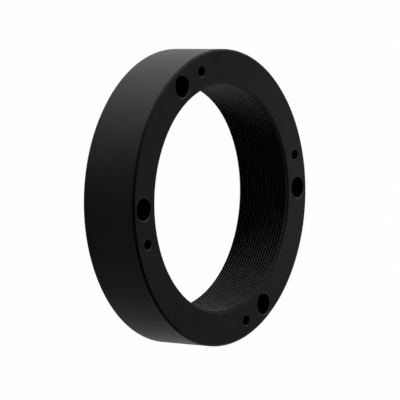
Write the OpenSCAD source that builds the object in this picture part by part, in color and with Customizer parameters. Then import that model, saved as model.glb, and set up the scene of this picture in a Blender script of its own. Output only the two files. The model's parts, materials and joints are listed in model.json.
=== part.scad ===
// Lens mount ring, turned from one piece and anodised black.
// A lens screws into the threaded bore from the front. Pull screws, with their heads
// sunk in the front face, hold the ring to the camera, and a push screw beside each
// one sets its tilt. The back face lies on the XY plane and the bore runs along Z.
// All sizes are in millimetres and all angles in degrees.

/* [Ring] */
// Depth of the ring from its back face to its front face
ring_depth = 19.5; // [12:0.5:30]
// Radial width of the ring from the mouth of the bore to the rim
wall = 10.25; // [9:0.05:14]
// Bevel round the rim at both faces
rim_bevel = 0.6; // [0.2:0.1:1.2]

/* [Lens thread] */
// Nominal diameter of the lens thread
lens_d = 72; // [50:1:95]
// Pitch of the lens thread
lens_pitch = 1; // [0.5:0.25:1.5]
// Radial room that the mouth of the bore leaves outside the thread
mouth_room = 0.25; // [0.05:0.05:0.4]

/* [Pull screws] */
// Angle from the X axis to each pull screw, on both sides of the axis
pull_angle = 30; // [20:1:40]
// Diameter of the counterbore for a pull screw's head
head_d = 7; // [5.5:0.1:8]
// Diameter of the hole for a pull screw's shank
shank_d = 3.4; // [2.6:0.1:4.5]
// Metal left between a pull screw's head and the back face
seat_thick = 6; // [3:0.5:8]
// Bevel at the ends of every screw hole
hole_bevel = 0.2; // [0.1:0.05:0.4]

/* [Push screws] */
// Angle from each pull screw to the push screw beside it
pair_angle = 15; // [12:1:25]
// Nominal diameter of a push screw's thread
push_d = 4; // [2:0.5:5]
// Pitch of a push screw's thread
push_pitch = 0.7; // [0.4:0.05:0.8]

/* [Hidden] */

anodised_black = "#1c1c1e";
$fn = 180;
hole_facets = 64;
// A cutter runs this far past the face that it opens.
past = 1;

// An internal thread stands five eighths of its sharp height in from its nominal
// diameter. The tapped holes are drawn at that minor diameter.
thread_share = 5 / 8;
flank_angle = 30;
function sharp_height(pitch) = pitch / (2 * tan(flank_angle));
function minor_r(d, pitch) = d / 2 - thread_share * sharp_height(pitch);

lens_core_r = minor_r(lens_d, lens_pitch);
mouth_r = lens_d / 2 + mouth_room;
rim_r = mouth_r + wall;
// All the screw holes lie along the middle of the wall.
screw_circle_r = mouth_r + wall / 2;
push_core_r = minor_r(push_d, push_pitch);

// The section has a 45 degree lead into the thread at each face.
module ring_section() {
    lead = mouth_r - lens_core_r;
    polygon([
        [lens_core_r, lead],
        [mouth_r, 0],
        [rim_r - rim_bevel, 0],
        [rim_r, rim_bevel],
        [rim_r, ring_depth - rim_bevel],
        [rim_r - rim_bevel, ring_depth],
        [mouth_r, ring_depth],
        [lens_core_r, ring_depth - lead]
    ]);
}

// Half section of a pull screw's hole, with the head's counterbore above the shank
module pull_section() {
    shank_r = shank_d / 2;
    head_r = head_d / 2;
    flare = hole_bevel + past;
    polygon([
        [0, -past],
        [shank_r + flare, -past],
        [shank_r, hole_bevel],
        [shank_r, seat_thick],
        [head_r, seat_thick],
        [head_r, ring_depth - hole_bevel],
        [head_r + flare, ring_depth + past],
        [0, ring_depth + past]
    ]);
}

// Half section of a push screw's hole, tapped right through
module push_section() {
    flare = hole_bevel + past;
    polygon([
        [0, -past],
        [push_core_r + flare, -past],
        [push_core_r, hole_bevel],
        [push_core_r, ring_depth - hole_bevel],
        [push_core_r + flare, ring_depth + past],
        [0, ring_depth + past]
    ]);
}

// Repeats a hole at an angle to each side of the X axis, at both ends of the ring.
module four_holes(angle) {
    for (end = [0, 180], side = [-1, 1])
        rotate(end + side * angle)
            translate([screw_circle_r, 0, 0])
                rotate_extrude($fn = hole_facets)
                    children();
}

module mount_ring() {
    color(anodised_black)
        difference() {
            rotate_extrude()
                ring_section();
            four_holes(pull_angle)
                pull_section();
            four_holes(pull_angle + pair_angle)
                push_section();
        }
}

mount_ring();
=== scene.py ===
import json
import math

import bmesh
import bpy
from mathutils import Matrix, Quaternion, Vector


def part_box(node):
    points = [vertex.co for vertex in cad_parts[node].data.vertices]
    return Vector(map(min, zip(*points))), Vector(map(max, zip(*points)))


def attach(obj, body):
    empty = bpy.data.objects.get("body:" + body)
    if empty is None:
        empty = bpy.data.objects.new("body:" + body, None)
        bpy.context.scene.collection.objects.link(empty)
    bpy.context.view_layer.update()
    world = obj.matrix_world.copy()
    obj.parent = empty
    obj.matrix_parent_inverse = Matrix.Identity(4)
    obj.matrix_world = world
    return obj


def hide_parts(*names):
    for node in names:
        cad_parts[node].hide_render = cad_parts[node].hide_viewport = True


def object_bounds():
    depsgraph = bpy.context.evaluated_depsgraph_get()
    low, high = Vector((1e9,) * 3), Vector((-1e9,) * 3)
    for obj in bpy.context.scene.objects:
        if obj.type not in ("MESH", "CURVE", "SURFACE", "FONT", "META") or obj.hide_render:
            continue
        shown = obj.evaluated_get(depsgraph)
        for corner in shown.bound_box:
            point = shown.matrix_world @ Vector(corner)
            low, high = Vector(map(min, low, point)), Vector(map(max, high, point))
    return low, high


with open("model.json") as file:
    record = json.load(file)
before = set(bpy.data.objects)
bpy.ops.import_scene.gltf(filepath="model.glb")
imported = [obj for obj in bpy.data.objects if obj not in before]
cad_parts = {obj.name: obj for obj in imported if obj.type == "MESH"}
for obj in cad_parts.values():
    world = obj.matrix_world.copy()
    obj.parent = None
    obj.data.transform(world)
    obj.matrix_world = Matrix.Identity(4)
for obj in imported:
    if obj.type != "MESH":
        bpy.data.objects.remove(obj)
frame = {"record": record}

cadLow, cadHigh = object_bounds()
mm = 0.001                          # lengths in the scene are in metres
mounts = {mount["name"]: mount["dims"] for mount in frame["record"]["mounts"]}


# Turned and threaded shapes

def onCircle(radius, angle, z, centre=(0, 0)):
    return centre[0] + radius * math.cos(angle), centre[1] + radius * math.sin(angle), z


def newObject(name, bm):
    bmesh.ops.recalc_face_normals(bm, faces=bm.faces)
    mesh = bpy.data.meshes.new(name)
    bm.to_mesh(mesh)
    bm.free()
    obj = bpy.data.objects.new(name, mesh)
    bpy.context.collection.objects.link(obj)
    return obj


def cutAway(obj, cutter):
    boolean = obj.modifiers.new("cut", "BOOLEAN")
    boolean.operation = "DIFFERENCE"
    boolean.solver = "MANIFOLD"
    boolean.object = cutter
    bpy.context.view_layer.objects.active = obj
    bpy.ops.object.modifier_apply(modifier=boolean.name)
    bpy.data.objects.remove(cutter)


def brokenCorners(section, size, steps):
    # each corner gives way to a short curve, and a point beyond each end keeps the face beside it flat
    beyond = 2
    points = []
    for i, point in enumerate(section):
        corner = Vector(point)
        before = (Vector(section[i - 1]) - corner).normalized() * size
        after = (Vector(section[(i + 1) % len(section)]) - corner).normalized() * size
        points.append(corner + beyond * before)
        for k in range(steps + 1):
            t = k / steps
            points.append(corner + before * (1 - t) ** 2 + after * t ** 2)
        points.append(corner + beyond * after)
    return points


def turnedRing(bm, section, segments):
    loops = []
    for i in range(segments):
        angle = math.tau * i / segments
        loops.append([bm.verts.new(onCircle(r, angle, z)) for r, z in section])
    for i, loop in enumerate(loops):
        nextLoop = loops[(i + 1) % segments]
        for k in range(len(loop)):
            j = (k + 1) % len(loop)
            bm.faces.new((loop[k], loop[j], nextLoop[j], nextLoop[k]))


def turnedPlug(bm, section, segments, centre):
    angles = [math.tau * i / segments for i in range(segments)]
    rings = [[bm.verts.new(onCircle(r, angle, z, centre)) for angle in angles] for r, z in section]
    for lower, upper in zip(rings, rings[1:]):
        for i in range(segments):
            j = (i + 1) % segments
            bm.faces.new((lower[i], lower[j], upper[j], upper[i]))
    bm.faces.new(rings[0])
    bm.faces.new(rings[-1])


def threadTap(bm, minorRadius, pitch, bottom, top, segments, form, centre=(0, 0)):
    # the form is swept up a right-hand helix, and each turn is joined to the next one
    depth = threadDepth(pitch)
    turns = math.ceil((top - bottom) / pitch)
    steps = turns * segments
    rows = []
    for i in range(steps + 1):
        angle = math.tau * i / segments
        row = []
        for along, out in form:
            z = bottom + pitch * (i / segments + along)
            row.append(bm.verts.new(onCircle(minorRadius + depth * out, angle, z, centre)))
        rows.append(row)
    for i in range(steps):
        row, nextRow = rows[i], rows[i + 1]
        for k in range(len(form) - 1):
            bm.faces.new((row[k], row[k + 1], nextRow[k + 1], nextRow[k]))
        if i + segments < steps:
            above, nextAbove = rows[i + segments], rows[i + segments + 1]
            bm.faces.new((row[-1], above[0], nextAbove[0], nextRow[-1]))
    lowEdge = [rows[i][0] for i in range(segments + 1)] + rows[0][:0:-1]
    highEdge = [rows[i][-1] for i in range(steps - segments, steps + 1)] + rows[steps][-2::-1]
    # each end closes to a tip well outside the metal
    lowTip, highTip = bottom - pitch, top + 2 * pitch
    for edge, z in ((lowEdge, lowTip), (highEdge, highTip)):
        tip = bm.verts.new((*centre, z))
        for p, q in zip(edge, edge[1:] + edge[:1]):
            bm.faces.new((p, q, tip))


# The ring

mountRingCut = {
    "rimBevel": 0.6 * mm,
    "mouthRoom": 0.25 * mm,         # the bore's mouth stands this far outside its thread
    "cornerBreak": 0.07 * mm,
    "cornerSteps": 2,
    "ringSegments": 288,
    "underBore": 0.4 * mm,          # the blank is bored this much small, and the tap opens it out
    "past": 1.5 * mm,               # cutters run on this far outside the metal
    "lensPitch": 1.0 * mm,
    "lensSegments": 240,
    "headDiameter": 7.0 * mm,
    "seatThickness": 6.0 * mm,
    "pullSegments": 64,
    "pushPitch": 0.7 * mm,
    "pushSegments": 40,
    "holeBevel": 0.2 * mm,
    "threadHeight": 5 / 8,          # share of a sharp thread that is cut
    "flankAngle": 30,
    "smoothAngle": 14,
}
# Height along one pitch and depth of the thread, both as shares, from one crest to the next
roundedThread = [
    (0.00, 0.00), (0.21, 0.00), (0.26, 0.09), (0.53, 0.95),
    (0.58, 1.00), (0.66, 1.00), (0.71, 0.95), (0.98, 0.09),
]
plainThread = [(0.00, 0.00), (0.25, 0.00), (0.56, 1.00), (0.69, 1.00)]


def threadDepth(pitch):
    flank = math.radians(mountRingCut["flankAngle"])
    return mountRingCut["threadHeight"] * pitch / (2 * math.tan(flank))


def ringBlank(rimRadius, depth, coreRadius):
    cut = mountRingCut
    mouth = coreRadius + threadDepth(cut["lensPitch"]) + cut["mouthRoom"]
    bore = coreRadius - cut["underBore"]
    lead = mouth - bore
    bevel = cut["rimBevel"]
    section = [
        (bore, lead),
        (mouth, 0),
        (rimRadius - bevel, 0),
        (rimRadius, bevel),
        (rimRadius, depth - bevel),
        (rimRadius - bevel, depth),
        (mouth, depth),
        (bore, depth - lead),
    ]
    bm = bmesh.new()
    turnedRing(bm, brokenCorners(section, cut["cornerBreak"], cut["cornerSteps"]), cut["ringSegments"])
    return newObject("mountRing", bm)


def cutLensThread(ring, depth, coreRadius):
    cut = mountRingCut
    bm = bmesh.new()
    threadTap(bm, coreRadius, cut["lensPitch"], -cut["past"], depth + cut["past"],
              cut["lensSegments"], roundedThread)
    cutAway(ring, newObject("lensTap", bm))


def cutPullHoles(ring, depth, places, shankRadius):
    cut = mountRingCut
    head = cut["headDiameter"] / 2
    seat, bevel, past = cut["seatThickness"], cut["holeBevel"], cut["past"]
    flare = bevel + past
    section = [
        (shankRadius + flare, -past),
        (shankRadius, bevel),
        (shankRadius, seat),
        (head, seat),
        (head, depth - bevel),
        (head + flare, depth + past),
    ]
    bm = bmesh.new()
    for place in places:
        turnedPlug(bm, section, cut["pullSegments"], place)
    cutAway(ring, newObject("pullDrills", bm))


def cutPushHoles(ring, depth, places, coreRadius):
    cut = mountRingCut
    pitch, bevel, past = cut["pushPitch"], cut["holeBevel"], cut["past"]
    # cones at 45 degrees that end inside the core
    lower = [(coreRadius + bevel + past, -past), (coreRadius - bevel, 2 * bevel)]
    upper = [(r, depth - z) for r, z in reversed(lower)]
    taps, sinks = bmesh.new(), bmesh.new()
    for place in places:
        threadTap(taps, coreRadius, pitch, -past, depth + past, cut["pushSegments"], plainThread, place)
        turnedPlug(sinks, lower, cut["pushSegments"], place)
        turnedPlug(sinks, upper, cut["pushSegments"], place)
    cutAway(ring, newObject("pushTaps", taps))
    cutAway(ring, newObject("pushSinks", sinks))


def patternPlaces(dims):
    halfX = dims["spacing_x_mm"] / 2 * mm
    halfY = dims["spacing_y_mm"] / 2 * mm
    return [(x, y) for x in (-halfX, halfX) for y in (-halfY, halfY)]


def mountRing():
    low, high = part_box("mount_ring")
    rimRadius = (high.x - low.x) / 2
    depth = high.z - low.z
    coreRadius = mounts["lens_thread"]["r_mm"] * mm
    pull, push = mounts["pull_screws"], mounts["push_screws"]
    ring = ringBlank(rimRadius, depth, coreRadius)
    cutLensThread(ring, depth, coreRadius)
    cutPullHoles(ring, depth, patternPlaces(pull), pull["hole_r_mm"] * mm)
    cutPushHoles(ring, depth, patternPlaces(push), push["hole_r_mm"] * mm)
    mesh = ring.data
    mesh.polygons.foreach_set("use_smooth", [True] * len(mesh.polygons))
    mesh.set_sharp_from_angle(angle=math.radians(mountRingCut["smoothAngle"]))
    mesh.materials.clear()
    return ring


ring = mountRing()
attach(ring, "root")
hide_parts("mount_ring")
print("ring turned, threaded and drilled:", len(ring.data.vertices), "points")


# Black anodised finish

anodisedLook = {
    "colour": (0.0272, 0.0272, 0.0275),
    "colourPale": (0.0328, 0.0328, 0.0331),
    "roughness": (0.41, 0.49),
    "specular": 0.04,
    "mottleSize": 9 * mm,
    "mottleDetail": 4,
    "turningPitch": 0.09 * mm,
    "turningDetail": 2,
    "turningBump": 0.03,
    "grainSize": 0.12 * mm,
    "grainDetail": 3,
    "grainBump": 0.05,
    "noiseSpan": (0.3, 0.7),        # range in which nearly all of a noise lies
}
# Tones multiply the colour. They are painted light and shade: highlights on the crests of the thread, the
# lead into it and the edges of the holes, shade in the grooves, inside the holes and on the rim's bevels.
anodisedPaintedLight = {
    "crestHighlight": 4.2,
    "grooveShade": 0.08,
    "leadHighlight": 1.5,
    "crestDepth": 0.05 * mm,
    "holeEdgeGlint": 6.0,
    # painted shade inside the holes, below the painted glint on their front edges
    "holeTone": 0.3,
    "bevelShade": 0.5,               # painted shade: the rim's bevels show as a thin dark line
    "fade": 0.1 * mm,
}


def anodisedBlack():
    look, paintedLight, cut = anodisedLook, anodisedPaintedLight, mountRingCut
    low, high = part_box("mount_ring")
    material = bpy.data.materials.new("anodisedBlack")
    material.use_nodes = True
    nodes, links = material.node_tree.nodes, material.node_tree.links
    shader = nodes["Principled BSDF"]
    shader.inputs["Specular IOR Level"].default_value = look["specular"]

    def feed(socket, value):
        if isinstance(value, bpy.types.NodeSocket):
            links.new(value, socket)
        else:
            socket.default_value = value

    def reckon(kind, operation, *values):
        node = nodes.new(kind)
        node.operation = operation
        for socket, value in zip(node.inputs, values):
            feed(socket, value)
        return next(socket for socket in node.outputs if socket.enabled)

    def plain(operation, *values):
        return reckon("ShaderNodeMath", operation, *values)

    def vector(operation, *values):
        return reckon("ShaderNodeVectorMath", operation, *values)

    def ramp(value, start, end, first, last):
        node = nodes.new("ShaderNodeMapRange")
        for name, setting in zip(("Value", "From Min", "From Max", "To Min", "To Max"),
                                 (value, start, end, first, last)):
            feed(node.inputs[name], setting)
        return node.outputs[0]

    def noise(size, detail, place):
        node = nodes.new("ShaderNodeTexNoise")
        node.inputs["Scale"].default_value = 1 / size
        node.inputs["Detail"].default_value = detail
        if place.type == "VALUE":
            node.noise_dimensions = "1D"
            links.new(place, node.inputs["W"])
        else:
            links.new(place, node.inputs["Vector"])
        return node.outputs["Fac"]

    def mixed(blend, share, first, second):
        node = nodes.new("ShaderNodeMix")
        node.data_type = "RGBA"
        node.blend_type = blend
        feed(node.inputs["Factor"], share)
        colours = [socket for socket in node.inputs if socket.type == "RGBA"]
        for socket, value in zip(colours, (first, second)):
            feed(socket, value)
        return next(socket for socket in node.outputs if socket.type == "RGBA")

    def bump(height, strength, distance, under=None):
        node = nodes.new("ShaderNodeBump")
        node.inputs["Strength"].default_value = strength
        node.inputs["Distance"].default_value = distance
        links.new(height, node.inputs["Height"])
        if under:
            links.new(under, node.inputs["Normal"])
        return node.outputs[0]

    place = nodes.new("ShaderNodeTexCoord").outputs["Object"]
    split = nodes.new("ShaderNodeSeparateXYZ")
    links.new(place, split.inputs[0])
    height = split.outputs["Z"]
    across = vector("MULTIPLY", place, (1, 1, 0))   # leaves the height out
    radius = vector("LENGTH", across)
    fromMiddle = plain("ABSOLUTE", plain("SUBTRACT", height, (low.z + high.z) / 2))
    core = mounts["lens_thread"]["r_mm"] * mm

    def threadHighlightAndShade():
        # painted highlights on the crests and on the lead into the thread, painted shade in its grooves
        crest = core + paintedLight["crestDepth"]
        end = mounts["lens_thread"]["length_mm"] / 2 * mm
        turns = ramp(radius, crest, crest + paintedLight["fade"], paintedLight["crestHighlight"], paintedLight["grooveShade"])
        return ramp(fromMiddle, end, end + paintedLight["fade"], turns, paintedLight["leadHighlight"])

    def inBore():
        mouth = core + threadDepth(cut["lensPitch"]) + cut["mouthRoom"]
        return ramp(radius, mouth - paintedLight["fade"], mouth, 1, 0)

    def bevelShade():
        # painted shade on the rim's bevels
        # no other face reaches as far out along the slope of the bevels
        reach = high.x + (high.z - low.z) / 2 - cut["rimBevel"]
        slope = plain("ADD", radius, fromMiddle)
        return ramp(slope, reach - paintedLight["fade"], reach, 1, paintedLight["bevelShade"])

    def inHoles():
        # marks where the holes get their painted shade and the painted glint on their edges
        # the holes are the same in all four quarters, so one quarter stands for them all
        quarter = vector("ABSOLUTE", across)
        inside = []
        pull, push = mounts["pull_screws"], mounts["push_screws"]
        for dims, wall in ((pull, cut["headDiameter"] / 2), (push, push["hole_r_mm"] * mm)):
            centre = (dims["spacing_x_mm"] / 2 * mm, dims["spacing_y_mm"] / 2 * mm, 0)
            inside.append(plain("LESS_THAN", vector("DISTANCE", quarter, centre), wall + cut["holeBevel"]))
        front = plain("GREATER_THAN", height, low.z + cut["seatThickness"])
        return plain("MULTIPLY", plain("MAXIMUM", *inside), front)

    mottle = noise(look["mottleSize"], look["mottleDetail"], place)
    paleShare = ramp(mottle, *look["noiseSpan"], 0, 1)
    tone = mixed("MIX", paleShare, (*look["colour"], 1), (*look["colourPale"], 1))
    # painted shade inside the holes, with a painted glint on their front edges
    edge = high.z - cut["holeBevel"]
    holeTone = ramp(height, edge - paintedLight["fade"], edge, paintedLight["holeTone"], paintedLight["holeEdgeGlint"])
    # painted highlights and painted shade on the thread
    tone = mixed("MULTIPLY", inBore(), tone, threadHighlightAndShade())
    tone = mixed("MULTIPLY", inHoles(), tone, holeTone)
    # painted shade on the rim's bevels
    tone = mixed("MULTIPLY", 1, tone, bevelShade())
    links.new(tone, shader.inputs["Base Color"])
    links.new(ramp(mottle, *look["noiseSpan"], *look["roughness"]), shader.inputs["Roughness"])

    # turning marks follow the radius on the faces and the height on the walls
    turning = noise(look["turningPitch"], look["turningDetail"], plain("ADD", radius, height))
    marks = bump(turning, look["turningBump"], look["turningPitch"])
    grain = noise(look["grainSize"], look["grainDetail"], place)
    links.new(bump(grain, look["grainBump"], look["grainSize"], marks), shader.inputs["Normal"])
    return material


ring.data.materials.append(anodisedBlack())
print("ring finished in black")


# Studio

studioFloor = {
    "radius": 4.0,
    "backdropHeight": 0.7,
    "segments": 96,
    "colour": (0.6, 0.6, 0.6),
    "whiteShare": 0.99,             # the rest of what the camera sees is lit paper, with the shadow
}
studioRoom = {"colour": (1, 1, 1), "level": 0.005}
# A level of 1 lights white paper that faces the lamp, at the ring's middle, to full white
softboxes = {
    "lowStrip": {
        "azimuth": 130, "elevation": -2.5, "distance": 0.13, "width": 0.08, "height": 0.005, "level": 1.0,
    },
    "upperBox": {
        "azimuth": 98, "elevation": 35, "distance": 0.6, "width": 0.24, "height": 0.14, "level": 0.352,
    },
    "lowerBox": {
        "azimuth": -21, "elevation": 33, "distance": 0.6, "width": 0.24, "height": 0.14, "level": 0.215,
    },
    "nearBox": {
        "azimuth": 28, "elevation": 18, "distance": 0.2, "width": 0.1, "height": 0.1, "level": 0.078,
    },
}


def towards(azimuth, elevation):
    a, e = math.radians(azimuth), math.radians(elevation)
    return Vector((math.cos(e) * math.cos(a), math.cos(e) * math.sin(a), math.sin(e)))


def whitePaper():
    # rays that show the paper or its mirror image find it white, and the rest find it lit
    material = bpy.data.materials.new("whitePaper")
    material.use_nodes = True
    nodes, links = material.node_tree.nodes, material.node_tree.links
    nodes.clear()
    rays = nodes.new("ShaderNodeLightPath")
    seen = rays.outputs["Is Camera Ray"]
    for name in ("Is Glossy Ray", "Is Transmission Ray"):
        either = nodes.new("ShaderNodeMath")
        either.operation = "MAXIMUM"
        links.new(seen, either.inputs[0])
        links.new(rays.outputs[name], either.inputs[1])
        seen = either.outputs[0]
    share = nodes.new("ShaderNodeMath")
    share.operation = "MULTIPLY"
    share.inputs[1].default_value = studioFloor["whiteShare"]
    links.new(seen, share.inputs[0])
    paper = nodes.new("ShaderNodeBsdfDiffuse")
    paper.inputs["Color"].default_value = (*studioFloor["colour"], 1)
    white = nodes.new("ShaderNodeEmission")
    mix = nodes.new("ShaderNodeMixShader")
    links.new(share.outputs[0], mix.inputs[0])
    links.new(paper.outputs[0], mix.inputs[1])
    links.new(white.outputs[0], mix.inputs[2])
    out = nodes.new("ShaderNodeOutputMaterial")
    links.new(mix.outputs[0], out.inputs["Surface"])
    return material


def layFloor():
    # a round floor with a low backdrop standing round its edge
    floor = studioFloor
    angles = [math.tau * i / floor["segments"] for i in range(floor["segments"])]
    bm = bmesh.new()
    rings = []
    for z in (0, floor["backdropHeight"]):
        rings.append([bm.verts.new(onCircle(floor["radius"], angle, z)) for angle in angles])
    bm.faces.new(rings[0])
    for i in range(len(angles)):
        bm.faces.new((rings[0][i - 1], rings[0][i], rings[1][i], rings[1][i - 1]))
    paper = newObject("studioFloor", bm)
    paper.data.materials.append(whitePaper())


def softbox(name, azimuth, elevation, distance, width, height, level, aim):
    lamp = bpy.data.lights.new(name, "AREA")
    lamp.shape = "RECTANGLE"
    lamp.size = width
    lamp.size_y = height
    lamp.energy = level * (math.pi * distance) ** 2
    box = bpy.data.objects.new(name, lamp)
    direction = towards(azimuth, elevation)
    box.location = aim + direction * distance
    box.rotation_euler = direction.to_track_quat("Z", "Y").to_euler()
    box.visible_camera = False
    bpy.context.collection.objects.link(box)


def lightRoom():
    world = bpy.data.worlds.new("studioRoom")
    world.use_nodes = True
    background = world.node_tree.nodes["Background"]
    background.inputs["Color"].default_value = (*studioRoom["colour"], 1)
    background.inputs["Strength"].default_value = studioRoom["level"]
    bpy.context.scene.world = world


ringMiddle = (cadLow + cadHigh) / 2
layFloor()
lightRoom()
for name, box in softboxes.items():
    softbox(name, aim=ringMiddle, **box)
print("studio lit by", len(softboxes), "softboxes")


# Camera

photoView = {
    "azimuth": -156.488,
    "elevation": 35.887,
    "roll": 92.633,
    "distance": 777.81 * mm,
    "aim": Vector((0.917, -0.672, 9.75)) * mm,
    "lens": 222.21,
    "sensor": 36,
}


def photoCamera():
    view = photoView
    data = bpy.data.cameras.new("photoCamera")
    data.sensor_width = view["sensor"]
    data.lens = view["lens"]
    camera = bpy.data.objects.new("photoCamera", data)
    direction = towards(view["azimuth"], view["elevation"])
    camera.location = view["aim"] + direction * view["distance"]
    turn = Quaternion((0, 0, 1), math.radians(view["roll"]))
    camera.rotation_mode = "QUATERNION"
    camera.rotation_quaternion = direction.to_track_quat("Z", "Y") @ turn
    bpy.context.collection.objects.link(camera)
    bpy.context.scene.camera = camera


photoCamera()
bpy.context.scene.view_settings.view_transform = "Standard"
print("camera set")
